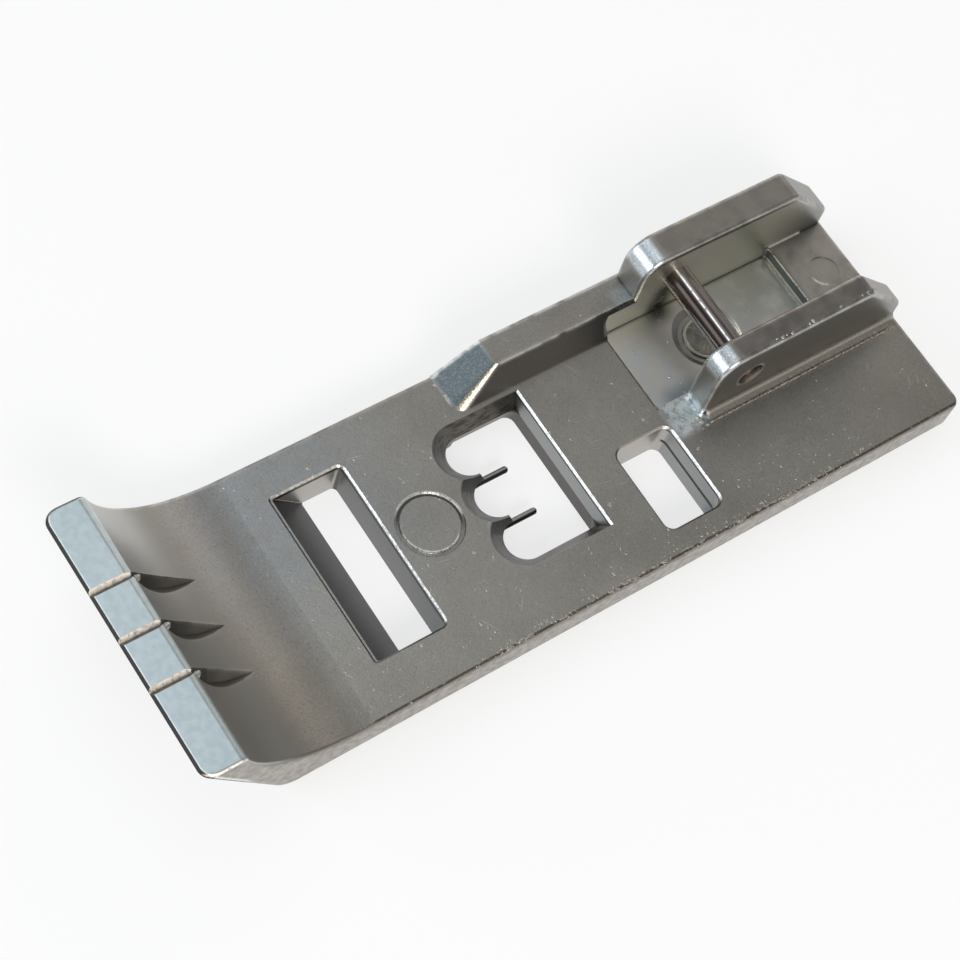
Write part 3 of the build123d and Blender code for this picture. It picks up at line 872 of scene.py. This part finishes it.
def join_copies(pattern, copies, name):
    """Makes the copies one piece that rides on the foot, and removes their pattern."""
    bpy.data.objects.remove(pattern)
    bpy.ops.object.select_all(action="DESELECT")
    for copy in copies:
        copy.select_set(True)
    bpy.context.view_layer.objects.active = copies[0]
    bpy.ops.object.join()
    piece = bpy.context.object
    piece.name = name
    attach(piece, "root")
    print(name, "copies:", len(copies), "faces:", len(piece.data.polygons))


copies = []
for x, y, z, size in EDGE_LUMPS + EAR_FOOT_LUMPS + EAR_TOP_LUMPS:
    copies.append(copy_piece(nodule, x, y, z, size, TURN_ALONG * y))
while len(copies) < NODULE_COUNT:
    x = chance.uniform(*PLATE_X)
    y = chance.uniform(*PLATE_Y)
    size = SMALLEST + SIZE_RANGE * chance.random() ** 3
    if is_clear(x, y):
        copies.append(copy_piece(nodule, x, y, PLATE_TOP, size, chance.uniform(0, FULL_TURN)))
join_copies(nodule, copies, "plating_nodules")

# %% [markdown]
# ## Burrs of the needle marks
# The V-shaped marks were cut across the end of the toe, and the cutter pushed up a small burr
# where it left the metal. Burrs could be pulled out of the casting itself, but the solid stays as
# it is. So one burr is modelled as a flattened drop, and copied to the three marks. A ray cast
# down on to the casting finds the height of each.

# %% Model the burrs
MARK_PLACES = (-3.3, -0.3, 2.7)
BURR_RADIUS = 0.36
BURR_SHAPE = (0.6, 1.1, 0.45)
BURR_DENT = 0.02
BURR_SHIFT = 0.3
BURR_Y = -23.95
BURR_TURN = 0.3
ABOVE = 20
DOWN = Vector((0, 0, -1))

burr = dented_ball(3, BURR_RADIUS, BURR_SHAPE, BURR_DENT, seed=4)
burrs = []
for mark in MARK_PLACES:
    x = mark + BURR_SHIFT
    spot = casting.ray_cast(Vector((x, BURR_Y, ABOVE)) * MM, DOWN)[1]
    burrs.append(copy_piece(burr, x, BURR_Y, spot.z / MM, 1.0, BURR_TURN))
    print("burr at height in mm:", round(spot.z / MM, 2))
join_copies(burr, burrs, "mark_burrs")

# %% [markdown]
# ## Flash at the edges
# Where the two halves of a mould meet, a thread of metal creeps out, and tumbling leaves it as a
# rough line. On this foot it shows along the outer root of the near ear and on part of the near
# top edge. A curve with a round section would be too smooth. So each line is a thin bar that is
# cut up along its length, shaken, and rounded by subdivision.

# %% Model the flash
FLASH_DARK = (0.28, 0.245, 0.205, 1)
FLASH_LIGHT = (0.6, 0.55, 0.48, 1)
FLASH_ROUGHNESS = 0.45
FLASH_CUTS = 100
FLASH_SHAKE = 0.55

flash_metal, tree, output = new_material("flash_metal")
crumbs = noise(in_millimetres(), 7.0, 3.0)
metal(over(fade(crumbs, 0.42, 0.58), FLASH_DARK, FLASH_LIGHT), FLASH_ROUGHNESS)


def flash(name, x, z, front, back, width, height, seed):
    """A rough thread of metal along Y, in millimetres."""
    bpy.ops.object.select_all(action="DESELECT")
    bpy.ops.mesh.primitive_cube_add(size=1, location=(0, 0, 0))
    bar = bpy.context.object
    bar.name = name
    bar.scale = (width * MM, (back - front) * MM, height * MM)
    bar.location = Vector((x, (front + back) / 2, z)) * MM
    bpy.ops.object.transform_apply(location=True, rotation=True, scale=True)
    bpy.ops.object.mode_set(mode="EDIT")
    bpy.ops.mesh.select_mode(type="EDGE")
    bpy.ops.mesh.select_all(action="DESELECT")
    bpy.ops.object.mode_set(mode="OBJECT")
    for side in bar.data.edges:
        first, last = (bar.data.vertices[corner].co for corner in side.vertices)
        side.select = abs(first.y - last.y) > 0.5 * (back - front) * MM
    bpy.ops.object.mode_set(mode="EDIT")
    bpy.ops.mesh.subdivide(number_cuts=FLASH_CUTS)
    bpy.ops.mesh.select_all(action="SELECT")
    bpy.ops.transform.vertex_random(offset=FLASH_SHAKE * height * MM, seed=seed)
    bpy.ops.object.mode_set(mode="OBJECT")
    rounding = bar.modifiers.new("rounding", "SUBSURF")
    rounding.levels = 1
    bpy.ops.object.modifier_apply(modifier=rounding.name)
    bpy.ops.object.shade_smooth()
    bar.data.materials.append(flash_metal)
    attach(bar, "root")
    print(name, "length in mm:", round(bar.dimensions.y / MM, 2))


flash("root_flash", x=1.98, z=2.71, front=11.5, back=25.6, width=0.2, height=0.1, seed=5)
flash("edge_flash", x=8.0, z=2.64, front=-7.0, back=17.0, width=0.26, height=0.14, seed=9)

# %% [markdown]
# ## Gate scar
# The casting was fed through the dish between the ears, and the gate was broken off there. The
# break is a rough, dull disc. Sculpting would be the usual way to roughen it, but needs a brush
# and a steady hand. Here a flat cylinder's top is cut into small faces and shaken.

# %% Model the gate scar
SCAR_HEIGHT = 1.57
SCAR_RADIUS = 1.25
SCAR_DEPTH = 0.12
SCAR_SIDES = 32
SCAR_CUTS = 5
SCAR_SHAKE = 0.03
SCAR_SMOOTH = 40
SCAR_DARK = (0.24, 0.235, 0.195, 1)
SCAR_LIGHT = (0.36, 0.355, 0.31, 1)
SCAR_ROUGHNESS = 0.5

scar_metal, tree, output = new_material("scar_metal")
place = in_millimetres()
pits = both(fade(noise(place, 6.0, 2.0), 0.62, 0.7), fade(noise(place, 1.5, 1.0), 0.4, 0.6))
dull = over(fade(noise(place, 2.0, 3.0), 0.3, 0.7), SCAR_DARK, SCAR_LIGHT)
metal(over(pits, dull, DEEP_LINE), SCAR_ROUGHNESS)

bpy.ops.object.select_all(action="DESELECT")
bpy.ops.mesh.primitive_cylinder_add(
    vertices=SCAR_SIDES, radius=SCAR_RADIUS * MM, depth=SCAR_DEPTH * MM,
    end_fill_type="TRIFAN", location=Vector((*GATE, SCAR_HEIGHT)) * MM)
scar = bpy.context.object
scar.name = "gate_scar"
bpy.ops.object.transform_apply(location=True, rotation=True, scale=True)
bpy.ops.object.mode_set(mode="EDIT")
bpy.ops.mesh.select_mode(type="FACE")
bpy.ops.mesh.select_all(action="DESELECT")
bpy.ops.object.mode_set(mode="OBJECT")
for face in scar.data.polygons:
    face.select = face.normal.z > 0.9
bpy.ops.object.mode_set(mode="EDIT")
bpy.ops.mesh.subdivide(number_cuts=SCAR_CUTS)
bpy.ops.transform.vertex_random(offset=SCAR_SHAKE * MM, seed=2)
bpy.ops.object.mode_set(mode="OBJECT")
bpy.ops.object.shade_smooth_by_angle(angle=math.radians(SCAR_SMOOTH))
scar.data.materials.append(scar_metal)
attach(scar, "root")
print("gate scar faces:", len(scar.data.polygons))
